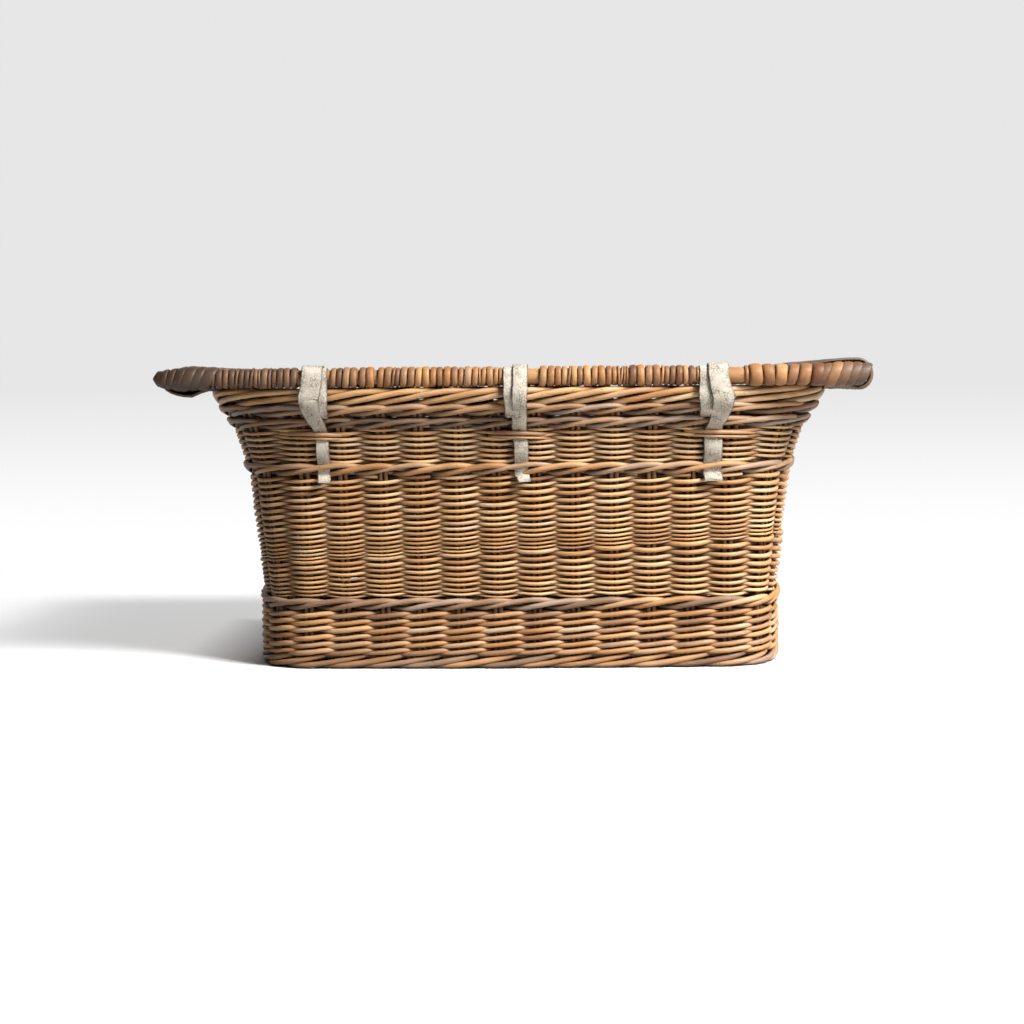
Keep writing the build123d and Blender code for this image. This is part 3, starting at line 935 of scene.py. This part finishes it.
lidEnds = {
    "seed": {-1: 61, 1: 62},
    "root": 0.3725, "top": {-1: 0.3820, 1: 0.3870}, "foot": 0.3545,
    "radius": 0.0040, "flat": 0.62, "pitch": 0.0074,
    "lie": 0.6,                              # how far a rod's middle lies inside the outline, in its radii
    "thickness": (0.9, 1.04), "closeness": (0.94, 1.05),     # how rods and their distances vary
    "topSpread": (-0.0008, 0.0006), "footSpread": (-0.0004, 0.0008),
    "drop": {-1: 0.0035, 1: 0.0065},         # how far the nose hangs below, past the rim
    "sag": {-1: 0.0075, 1: 0.0}, "sagFrom": 0.215, "sagOver": 0.040,   # and lower still at the sticks
    "nose": {-1: 2.10, 1: 0.90},             # length of the nose against half its height
    "noseReach": (-0.004, 0.0), "noseSteps": 12,      # how far a nose may draw in
    # steps of a loop's way along X: from the root, with how far they lie under the top or over the foot
    "tuck": 0.007, "tuckOff": 0.004,         # both ends run back into the weave, this far off its middle
    "shoulder": ((0.001, 0.0040), (0.014, 0.0015)), "heel": (0.001, 0.002),
    # and back from the nose's middle, where the lower ones have a share of the drop and of the sag
    "noseFrom": 0.012, "underNose": (0.010, 0.6), "underSag": (0.024, 0.3),
    # the left end's darker tone and deeper shade are painted shade
    "tone": {-1: 1.0, 1: 0.85}, "toneSpread": 0.12, "grey": 0.66, "greySpread": 0.3,
    "shade": {-1: 0.42, 1: 0.24},
}


def endLoop(side, y, reach, dice):
    # one loop in the plane of Y, out along the top, round the nose and back underneath
    top = lidEnds["top"][side] - lidEnds["radius"] * lidEnds["lie"] + dice.uniform(*lidEnds["topSpread"])
    foot = lidEnds["foot"] + lidEnds["radius"] * lidEnds["lie"] + dice.uniform(*lidEnds["footSpread"])
    sag = lidEnds["sag"][side] * clamp((abs(y) - lidEnds["sagFrom"]) / lidEnds["sagOver"])
    drop = lidEnds["drop"][side] + sag
    low = foot - drop
    middle, half = (top + low) / 2, (top - low) / 2
    long = half * lidEnds["nose"][side]
    nose = reach - long
    root = lidEnds["root"]
    way = [(root - lidEnds["tuck"], lid["z"] + lidEnds["tuckOff"])]
    way += [(root + x, top - under) for x, under in lidEnds["shoulder"]]
    way.append((nose - lidEnds["noseFrom"], top))
    for k in range(lidEnds["noseSteps"] + 1):
        angle = math.radians(90 - 180 * k / lidEnds["noseSteps"])
        way.append((nose + long * math.cos(angle), middle + half * math.sin(angle)))
    for (back, share), depth in ((lidEnds["underNose"], drop), (lidEnds["underSag"], sag)):
        way.append((nose - back, foot - share * depth))
    way.append((root + lidEnds["heel"][0], foot + lidEnds["heel"][1]))
    way.append((root - lidEnds["tuck"], lid["z"] - lidEnds["tuckOff"]))
    return [Vector((side * x, y, z)) for x, z in way]


def makeLidEnd(name, side, node):
    dice = random.Random(lidEnds["seed"][side])
    low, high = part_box(node)
    reach = max(abs(low[0]), abs(high[0])) - lidEnds["radius"] * lidEnds["lie"]
    y = low[1] + lidEnds["radius"]
    rods = []
    while y < high[1] - lidEnds["radius"] / 2:
        tone = lidEnds["tone"][side] + dice.gauss(0, lidEnds["toneSpread"])
        grey = min(1, lidEnds["grey"] + dice.uniform(-lidEnds["greySpread"], lidEnds["greySpread"]))
        finish = (tone, grey, lidEnds["shade"][side])
        radius = lidEnds["radius"] * dice.uniform(*lidEnds["thickness"])
        points = endLoop(side, y, reach + dice.uniform(*lidEnds["noseReach"]), dice)
        rod = []
        for before, point, after in zip(points[:1] + points, points, points[1:] + points[-1:]):
            way = after - before
            rod.append((point, radius, finish, Vector((-way.z * side, 0, way.x * side)).normalized()))
        rods.append(rod)
        y += lidEnds["pitch"] * dice.uniform(*lidEnds["closeness"])
    settle(layRods(name, rods, lidWillow, sides=8, flat=lidEnds["flat"]), "lid", "willow", node)


makeLidEnd("lidEndLeft", -1, "lid_end_binding_left")
makeLidEnd("lidEndRight", 1, "lid_end_binding_right")


# the edge sticks' bare ends, wrapped in broad slanting turns out to just short of the cut

endWraps = {
    "seed": 71,
    "from": 0.3725, "half": 0.0074, "flat": 0.30, "pitch": 0.0118, "slant": 0.0060,
    "reach": 160, "steps": 28,            # degrees each way from the outside
    "hug": 0.9, "bulge": 0.0022,          # how turns lie on the stick, and stand out halfway along it
    "evenness": (0.88, 1.08), "closeness": (0.90, 1.12),      # how their widths and distances vary
    "stop": {-1: 0.4350, 1: 0.4300},      # the last turn at each end
    "tip": {-1: 0.4480, 1: 0.5200},       # where the turns would draw in to nothing
    "drawFrom": 0.042, "drawLeast": 0.25, "tilt": 0.35,     # how they draw in before that
    "halfKept": 0.40, "pitchKept": 0.45,  # the shares of width and pitch that don't draw in
    # tone, grey and shade at the weave, and how much more they are at the tip; the left end's dark tone and
    # shade are painted shade
    "tone": {-1: (1.0, 0.0), 1: (0.70, 0.30)}, "toneSpread": 0.09,
    "grey": {-1: (0.70, 0.0), 1: (0.24, 0.60)}, "greySpread": 0.08, "greyFrom": 0.25,
    "shade": {-1: (0.58, 0.0), 1: (0.14, 0.30)},
}
# the left ends are drawn to a blunt point: distances along X and radii past the stick's own
endPoints = {
    "rows": ((0.4280, 0.0007), (0.4401, 0.0003), (0.4424, -0.0022), (0.4446, -0.0054), (0.4462, -0.0078)),
    # their finish is dark with painted shade, and they face partly out, which paints more
    "finish": (1.0, 0.7, 0.62), "face": (-0.6, 0, 0),
}


def makeEndWraps():
    dice = random.Random(endWraps["seed"])
    rods = []
    for y in (lid["backY"], lid["frontY"]):
        outward = -1 if y < 0 else 1
        for side in (-1, 1):
            stop = endWraps["stop"][side]
            parts = [endWraps[key][side] for key in ("tone", "grey", "shade")]
            (tone, toneMore), (grey, greyMore), (shade, shadeMore) = parts
            x = endWraps["from"] + endWraps["pitch"] / 2
            while x < stop:
                far = (x - endWraps["from"]) / (stop - endWraps["from"])
                greyFar = max(0.0, far - endWraps["greyFrom"]) / (1 - endWraps["greyFrom"])
                turnTone = tone + toneMore * far + dice.gauss(0, endWraps["toneSpread"])
                turnGrey = grey + greyMore * greyFar + dice.uniform(-1, 1) * endWraps["greySpread"]
                finish = (turnTone, min(1, turnGrey), shade + shadeMore * far)
                shrink = clamp((endWraps["tip"][side] - x) / endWraps["drawFrom"], endWraps["drawLeast"])
                kept = endWraps["halfKept"]
                half = endWraps["half"] * dice.uniform(*endWraps["evenness"]) * (kept + (1 - kept) * shrink)
                tilt = Vector((side * endWraps["tilt"] if shrink < 1 else 0.0, 0, 0))
                thick = half * endWraps["flat"] * endWraps["hug"]
                bulge = endWraps["bulge"] * math.sin(math.pi * far)
                reach = lid["edgeRadius"] + (thick + bulge) * shrink
                lean = endWraps["slant"] * shrink
                rod = []
                for _, rise, around in turnAround(outward, endWraps["reach"], endWraps["steps"]):
                    place = Vector((side * x + lean * rise, y, lid["z"])) + reach * around
                    rod.append((place, half, finish, (around + tilt).normalized()))
                rods.append(rod)
                kept = endWraps["pitchKept"]
                x += endWraps["pitch"] * dice.uniform(*endWraps["closeness"]) * (kept + (1 - kept) * shrink)
    return layRods("stickEndWraps", rods, lidWillow, sides=12, flat=endWraps["flat"])


def makeEndPoints():
    rods = [
        [
            (Vector((-x, y, lid["z"])), lid["edgeRadius"] + more, endPoints["finish"], endPoints["face"])
            for x, more in endPoints["rows"]
        ]
        for y in (lid["backY"], lid["frontY"])
    ]
    return layRods("stickEndPoints", rods, lidWillow, sides=20)


settle(makeEndWraps(), "lid", "willow")
settle(makeEndPoints(), "lid", "willow")


# leather straps: one ribbon each, wound twice round the border and the lid's back stick

strap = {
    "seed": 80,       # the first strap's, and the others' follow
    "half": 0.010, "flat": 0.12, "fray": 0.0004, "steps": 5,
    "places": (("left", -0.240), ("centre", 0.0), ("right", 0.240)),
    # a strap's way, in rows of distance outwards, height and level along it: from the inside of
    # the wall over the rim, a turn round the stick, down the face and in through the wall, up
    # again to the second turn, and down over the first one; these rows are measured from the rim
    "start": ((-0.03584, 0.3225, 0.0), (-0.0266, 0.336, 0.0), (-0.0266, 0.352, 0.0)),
    "firstTurn": (0.01105, 0.2),      # radius and level
    "inward": (
        (0.0030, 0.350, 0.3), (0.0026, 0.341, 0.3), (-0.0010, 0.331, 0.4), (-0.0070, 0.3215, 0.4),
        (-0.0180, 0.3180, 0.5), (-0.0295, 0.3185, 0.6), (-0.0296, 0.336, 0.9), (-0.0296, 0.350, 1.0),
    ),
    "secondTurn": (0.01385, 1.0),
    "outward": ((0.0060, 0.350, 1.1), (0.0056, 0.341, 1.2), (0.0010, 0.331, 1.25)),
    # and these from the wall at their own height: over the face, behind the keeper rod, behind
    # the wale, and out again to the tail
    "tail": (
        (0.0095, 0.318, 1.4), (0.0080, 0.308, 1.6), (0.0012, 0.301, 1.8), (-0.0006, 0.293, 1.9),
        (0.0030, 0.284, 2.0), (0.0026, 0.270, 2.0), (-0.0024, 0.262, 2.0), (-0.0030, 0.248, 2.0),
        (0.0012, 0.2425, 2.1), (0.0058, 0.2385, 2.15), (0.0105, 0.2370, 2.2),
    ),
    # sideways drift and share of the width at these levels: its first turn, the front of that
    # turn, the second turn on top, at the rim, under the rim, below the keeper rod, the tail
    "marks": (0.0, 0.3, 1.0, 1.2, 1.6, 1.9, 2.2),
    "drift": {
        "left": (0.0, 0.0, -0.009, -0.0140, -0.0045, -0.002, 0.0),
        "centre": (-0.0055, -0.0055, 0.006, 0.005, 0.004, 0.004, 0.010),
        "right": (-0.004, -0.006, 0.008, 0.0145, 0.006, 0.0035, 0.005),
    },
    "share": {
        "left": (0.92, 0.95, 1.32, 1.25, 0.88, 0.82, 0.80),
        "centre": (0.95, 0.95, 0.92, 0.92, 0.92, 0.93, 0.80),
        "right": (0.95, 1.0, 1.26, 1.36, 0.95, 1.16, 1.18),
    },
}


def strapKeys(stickOut):
    # rows of outward distance from the plan line, height, and level along the strap
    rim = wall["lean"][-1][1]
    keys = []
    for straight, turn in (("start", "firstTurn"), ("inward", "secondTurn"), ("outward", None)):
        keys += [(rim + out, z, level) for out, z, level in strap[straight]]
        if turn:
            radius, level = strap[turn]
            for angle in map(math.radians, (180, 135, 90, 45, 0)):
                keys.append((stickOut + radius * math.cos(angle), lid["z"] + radius * math.sin(angle), level))
    return keys + [(leanAt(z) + out, z, level) for out, z, level in strap["tail"]]


def markAt(stops, level):
    # the value of a row of stops at this level along the strap
    marks = strap["marks"]
    for k in range(len(marks) - 1):
        if level <= marks[k + 1]:
            share = (level - marks[k]) / (marks[k + 1] - marks[k])
            return stops[k] + (stops[k + 1] - stops[k]) * share
    return stops[-1]


def makeStrap(name, x, seed):
    dice = random.Random(seed)
    shore = planReach(x, 0)
    way = smoothKeys(strapKeys(-lid["backY"] - shore), strap["steps"])
    strip = []
    for before, (out, z, level), after in zip(way[:1] + way, way, way[1:] + way[-1:]):
        face = Vector((0, -(after[1] - before[1]), -(after[0] - before[0]))).normalized()
        middle = Vector((x + markAt(strap["drift"][name], level), -(shore + out), z))
        half = strap["half"] * markAt(strap["share"][name], level) + dice.uniform(-1, 1) * strap["fray"]
        strip.append((middle, half, (0, 0, 0), face))
    obj = layRods(f"strap{name.capitalize()}", [strip], leather, flat=strap["flat"], strip=True)
    settle(obj, "basket", "strap_leather", f"hinge_strap_{name}")


# a short rod across each strap, its ends tucked behind the stakes on both sides
keepers = {
    "seed": 91,
    "height": 0.297, "level": 1.6,       # and where along the strap it crosses
    "rods": ((0.0, 0.0027), (-0.0052, 0.0019)),     # how much higher each lies, and its radius
    "reach": 0.8,                        # pairs of stakes that it spans each way
    "steps": 24, "droop": 0.0020, "taper": 0.15,
    "out": 0.0050, "tuck": 0.0200, "tuckPower": 1.8,
    "tone": 0.45, "toneSpread": 0.1, "grey": 0.15, "greySpread": 0.3,
}


def makeKeepers():
    dice = random.Random(keepers["seed"])
    rods = []
    middle = (wall["sidePairs"] - 1) / 2
    for name, x in strap["places"]:
        centre = middle + (x + markAt(strap["drift"][name], keepers["level"])) / wall["sidePitch"]
        for lift, radius in keepers["rods"]:
            tone = keepers["tone"] + dice.gauss(0, keepers["toneSpread"])
            finish = (tone, keepers["grey"] + dice.uniform(0, keepers["greySpread"]), 0.0)
            rod = []
            for k in range(keepers["steps"] + 1):
                u = -keepers["reach"] + 2 * keepers["reach"] * k / keepers["steps"]
                out = wall["thickness"] / 2 + keepers["out"] - keepers["tuck"] * abs(u)**keepers["tuckPower"]
                place = wallPoint(centre + u, keepers["height"] + lift - keepers["droop"] * u, out)
                half = radius * (1 - keepers["taper"] * u)
                # it faces less out towards its tucked ends, which paints shade there
                rod.append((place, half, finish, outwardAt(centre + u, 1 - abs(u))))
            rods.append(rod)
    return layRods("strapKeepers", rods, wallWillow, sides=8)


for seed, (name, x) in enumerate(strap["places"], strap["seed"]):
    makeStrap(name, x, seed)
settle(makeKeepers(), "basket", "willow")


# sticks that keep their modelled shape get the peeled willow finish

for name in ("lid_back_stick", "lid_front_stick", "lid_inner_sticks", "base_sticks"):
    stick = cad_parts[name]
    stick.data.materials.clear()
    stick.data.materials.append(stickWillow)

print("scene shapes made")


# floor, light and camera

studio = {
    "floor": "FFFFFF", "farGrey": "E7E7E7", "bounce": "A8A8A8",    # the last is what the hamper sees of it
    "size": 6.0, "wall": 4.4,            # half the floor's width, and how far back the wall stands
    # where the floor starts to grey, how grey it is at the wall's foot, and where the wall is full grey
    "whiteTo": 2.1, "footShare": 0.286, "greyFrom": 0.34,
    "shadeTo": (0.55, 1.5), "sideTo": (0.62, 1.02),   # past this the floor shows its own level to the camera
    "lift": 0.43,                        # how much the floor's shadow is lightened for the camera
    "foot": (0.335, 0.200), "liftOver": 0.12,   # but not under the hamper, and only gradually beside it
    "roughness": 0.9, "specular": 0.1,
    "cameraHeight": 0.359, "cameraBack": 2.600, "turn": 1.0, "roll": 0.42, "lens": 66.8,
    "shiftX": -0.00714, "shiftY": -0.126,
    "world": 0.07,
    "aim": (0, 0, 0.2),                  # where the lamps point
}
lamps = {
    "keyLamp": {"watts": 250, "size": 1.20, "at": (2.08, -1.80, 2.35)},
    "fillLamp": {"watts": 8, "size": 1.2, "at": (1.6, -2.2, 0.7)},
    "backLamp": {"watts": 13, "size": 1.8, "at": (-0.9, 2.5, 2.0)},
}


def makeStage():
    # a floor that turns up into a wall far behind the hamper
    far = studio["wall"]
    floor = bmesh.new()
    bmesh.ops.create_grid(floor, x_segments=1, y_segments=1, size=studio["size"])
    bmesh.ops.translate(floor, verts=floor.verts, vec=(0, far - studio["size"], 0))
    edge = [e for e in floor.edges if all(v.co.y > far - 0.1 for v in e.verts)]
    raised = bmesh.ops.extrude_edge_only(floor, edges=edge)
    verts = [v for v in raised["geom"] if isinstance(v, bmesh.types.BMVert)]
    bmesh.ops.translate(floor, verts=verts, vec=(0, 0, studio["size"]))
    bmesh.ops.recalc_face_normals(floor, faces=floor.faces)
    mesh = bpy.data.meshes.new("floorAndBackdrop")
    floor.to_mesh(mesh)
    floor.free()
    mesh.materials.append(makePaint(far))
    obj = bpy.data.objects.new(mesh.name, mesh)
    bpy.context.scene.collection.objects.link(obj)


def makePaint(far):
    # matt white paint, which keeps the hamper's shadow; its far part shows a set level of grey
    material, tree, shader = newMaterial("mattWhitePaint")
    ray = addNode(tree, "ShaderNodeLightPath").outputs
    tints = {"Factor": ray["Is Camera Ray"], "A": srgb(studio["bounce"]), "B": srgb(studio["floor"])}
    paint = addNode(tree, "ShaderNodeMix", tints, data_type="RGBA")
    place = addNode(tree, "ShaderNodeTexCoord").outputs["Object"]
    x, y, z = addNode(tree, "ShaderNodeSeparateXYZ", {"Vector": place}).outputs
    # the level of grey that the far floor and the wall show
    share = studio["footShare"]
    back = {"Value": y, "From Min": studio["whiteTo"], "From Max": far, "To Max": share}
    along = addNode(tree, "ShaderNodeMapRange", back)
    high = {"Value": z, "From Max": studio["greyFrom"], "To Max": 1 - share}
    up = addNode(tree, "ShaderNodeMapRange", high)
    level = addNode(tree, "ShaderNodeMath", {0: along, 1: up}, operation="ADD")
    greys = ((0.0, studio["floor"]), (1.0, studio["farGrey"]))
    colour = addNode(tree, "ShaderNodeValToRGB", {"Fac": level}, greys)
    glow = addNode(tree, "ShaderNodeEmission", {"Color": colour, "Strength": 1.0})
    # rays that see it: the camera's own, and those that metal and glass pass on
    seen = ray["Is Camera Ray"]
    for kind in ("Is Glossy Ray", "Is Transmission Ray"):
        seen = addNode(tree, "ShaderNodeMath", {0: seen, 1: ray[kind]}, operation="ADD", use_clamp=True)
    # how far past the hamper a spot lies, and how far beside it
    aside, behind = (addNode(tree, "ShaderNodeMath", {0: way}, operation="ABSOLUTE") for way in (x, y))
    past = []
    for way, (start, end) in ((y, studio["shadeTo"]), (aside, studio["sideTo"])):
        span = {"Value": way, "From Min": start, "From Max": end}
        past.append(addNode(tree, "ShaderNodeMapRange", span, interpolation_type="SMOOTHSTEP"))
    past = addNode(tree, "ShaderNodeMath", {0: past[0], 1: past[1]}, operation="MAXIMUM")
    share = addNode(tree, "ShaderNodeMath", {0: past, 1: seen}, operation="MULTIPLY")
    apart = [
        addNode(tree, "ShaderNodeMath", {0: way, 1: half}, operation="SUBTRACT")
        for way, half in zip((aside, behind), studio["foot"])
    ]
    beside = addNode(tree, "ShaderNodeMath", {0: apart[0], 1: apart[1]}, operation="MAXIMUM")
    rise = {"Value": beside, "From Max": studio["liftOver"], "To Max": studio["lift"]}
    lift = addNode(tree, "ShaderNodeMapRange", rise)
    lift = addNode(tree, "ShaderNodeMath", {0: seen, 1: lift}, operation="MULTIPLY")
    setInputs(shader, {
        "Base Color": paint, "Roughness": studio["roughness"], "Specular IOR Level": studio["specular"],
        "Emission Color": srgb(studio["floor"]), "Emission Strength": lift,
    })
    both = addNode(tree, "ShaderNodeMixShader", {"Fac": share, 1: shader, 2: glow})
    setInputs(tree.nodes["Material Output"], {"Surface": both})
    return material


def makeLamp(name, watts, size, at):
    lamp = bpy.data.lights.new(name, "AREA")
    lamp.energy = watts
    lamp.size = size
    obj = bpy.data.objects.new(name, lamp)
    obj.location = at
    obj.rotation_euler = (Vector(studio["aim"]) - Vector(at)).to_track_quat("-Z", "Y").to_euler()
    bpy.context.scene.collection.objects.link(obj)


def makeCamera():
    camera = bpy.data.cameras.new("camera")
    camera.lens = studio["lens"]
    camera.sensor_width = 36
    camera.shift_x = studio["shiftX"]
    camera.shift_y = studio["shiftY"]
    obj = bpy.data.objects.new("camera", camera)
    turn, back = math.radians(studio["turn"]), studio["cameraBack"]
    obj.location = (back * math.sin(turn), -back * math.cos(turn), studio["cameraHeight"])
    obj.rotation_euler = (math.radians(90), math.radians(studio["roll"]), turn)
    bpy.context.scene.collection.objects.link(obj)
    bpy.context.scene.camera = obj


makeStage()
for name, lamp in lamps.items():
    makeLamp(name, **lamp)
makeCamera()
world = bpy.context.scene.world or bpy.data.worlds.new("studio")
bpy.context.scene.world = world
world.use_nodes = True
setInputs(world.node_tree.nodes["Background"], {"Color": (1, 1, 1, 1), "Strength": studio["world"]})
bpy.context.scene.view_settings.view_transform = "Standard"

print("studio made")
